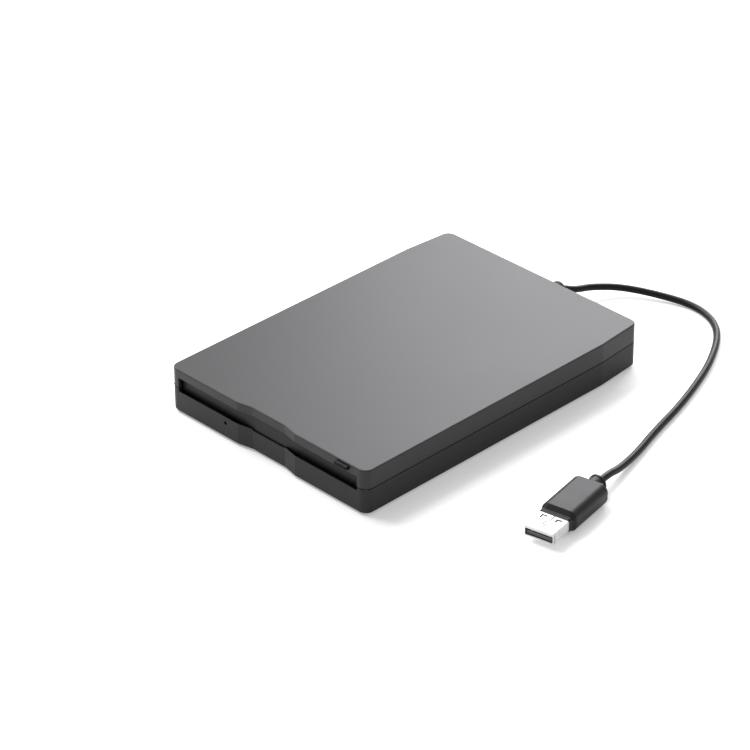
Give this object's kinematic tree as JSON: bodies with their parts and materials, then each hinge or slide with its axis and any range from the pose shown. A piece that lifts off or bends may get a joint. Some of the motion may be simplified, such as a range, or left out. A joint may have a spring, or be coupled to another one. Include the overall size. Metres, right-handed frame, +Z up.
{
  "type": "external floppy disk drive",
  "caption": "Slim black external drive for 3.5 inch floppy disks with a sprung dust door, an eject button and a captive USB-A lead.",
  "frame": {"origin": "middle of the case at the level of the surface it stands on, lead and plug not counted", "axes": "+X to the right seen from the front, +Y from the disk slot to the back, +Z up"},
  "size_m": [0.1627, 0.1942, 0.0188],
  "materials": {
    "top_shell": "satin",
    "bottom_shell": "satin",
    "black_plastic": "satin",
    "rubber": "matte",
    "cable_rubber": "semi-gloss",
    "steel": "satin",
    "dark_steel": "satin",
    "zinc_steel": "zinc plated",
    "plug_steel": "bright",
    "gold": "polished",
    "brass": "satin",
    "copper": "enamelled wire",
    "clear_plastic": "clear",
    "green_board": "solder mask",
    "chip_plastic": "matte",
    "grey_plastic": "matte",
    "white_plastic": "satin",
    "ceramic": "lapped",
    "amber_film": "film",
    "wire_plastic": "insulation",
    "tongue_plastic": "matte"
  },
  "bodies": {
    "case": {"top_cover": "top_shell", "bottom_cover": "bottom_shell", "rubber_feet": "rubber", "case_screws": "dark_steel", "door_spring": "steel", "light_pipe": "clear_plastic", "drive_frame": "zinc_steel", "frame_screws": "steel", "slide_springs": "steel", "motor_board": "green_board", "motor_stator": "copper", "spindle_bearing": "brass", "guide_rod": "steel", "rod_clamps": "grey_plastic", "screw_bracket": "zinc_steel", "stepper_motor": "zinc_steel", "motor_flex": "amber_film", "main_board": "green_board", "main_chips": "chip_plastic", "usb_board": "green_board", "usb_chips": "chip_plastic", "front_board": "green_board", "disk_switches": "chip_plastic", "activity_light": "clear_plastic", "strain_relief": "cable_rubber", "usb_cord": "cable_rubber", "inner_lead": "wire_plastic", "plug_overmold": "cable_rubber", "plug_shell": "plug_steel", "plug_tongue": "tongue_plastic", "plug_contacts": "gold"},
    "door": {"dust_door": "black_plastic"},
    "slide": {"slide_plate": "zinc_steel", "eject_button": "black_plastic"},
    "cradle": {"disk_carrier": "zinc_steel", "carrier_pins": "steel", "lever_pin": "steel", "lever_spring": "steel"},
    "lever": {"shutter_lever": "zinc_steel"},
    "spindle": {"spindle_rotor": "zinc_steel", "spindle_chuck": "steel", "drive_pin": "steel"},
    "screw": {"lead_screw": "steel"},
    "carriage": {"head_carriage": "grey_plastic", "follower_pin": "steel", "arm_pin": "steel", "arm_spring": "steel", "lower_head": "ceramic"},
    "arm": {"upper_arm": "grey_plastic", "upper_head": "ceramic"},
    "write_protect": {"write_protect_plunger": "white_plastic"},
    "density": {"density_plunger": "white_plastic"},
    "disk_in": {"disk_in_plunger": "white_plastic"}
  },
  "joints": [
    {"name": "door_hinge", "type": "hinge", "parent": "case", "child": "door", "pos_m": [0, -0.0699, 0.0147], "axis": [1, 0, 0], "range_deg": [0, 86], "stiffness_Nm_per_rad": 0.0002, "springref_deg": -11.46},
    {"name": "eject_slide", "type": "slide", "parent": "case", "child": "slide", "axis": [0, -1, 0], "range_m": [0, 0.0045], "deforming": ["slide_springs"]},
    {"name": "carrier_lift", "type": "slide", "parent": "case", "child": "cradle", "axis": [0, 0, -1], "range_m": [0, 0.002]},
    {"name": "shutter_swing", "type": "hinge", "parent": "cradle", "child": "lever", "pos_m": [0.036, 0.0164, 0.0148], "axis": [0, 0, -1], "range_deg": [0, 80], "stiffness_Nm_per_rad": 0.0005, "springref_deg": -17.19},
    {"name": "spindle_spin", "type": "hinge", "parent": "case", "child": "spindle", "pos_m": [0, -0.019, 0.007], "axis": [0, 0, 1], "continuous": true},
    {"name": "screw_spin", "type": "hinge", "parent": "case", "child": "screw", "pos_m": [0.016, 0.0404, 0.0072], "axis": [0, 1, 0], "range_deg": [0, 1800]},
    {"name": "head_slide", "type": "slide", "parent": "case", "child": "carriage", "axis": [0, -1, 0], "range_m": [0, 0.0148]},
    {"name": "arm_hinge", "type": "hinge", "parent": "carriage", "child": "arm", "pos_m": [0, 0.045, 0.01195], "axis": [1, 0, 0], "range_deg": [0, 9]},
    {"name": "write_protect_press", "type": "slide", "parent": "case", "child": "write_protect", "axis": [0, 0, -1], "range_m": [0, 0.0014], "stiffness_N_per_m": 25},
    {"name": "density_press", "type": "slide", "parent": "case", "child": "density", "axis": [0, 0, -1], "range_m": [0, 0.0014], "stiffness_N_per_m": 25},
    {"name": "disk_in_press", "type": "slide", "parent": "case", "child": "disk_in", "axis": [0, 0, -1], "range_m": [0, 0.0014], "stiffness_N_per_m": 25}
  ],
  "couplings": [
    {"joint": "carrier_lift", "follows": "eject_slide", "ratio": 0.4444},
    {"joint": "arm_hinge", "follows": "eject_slide", "rad_per_m": 34.9},
    {"joint": "screw_spin", "follows": "head_slide", "rad_per_m": 2094.4}
  ]
}
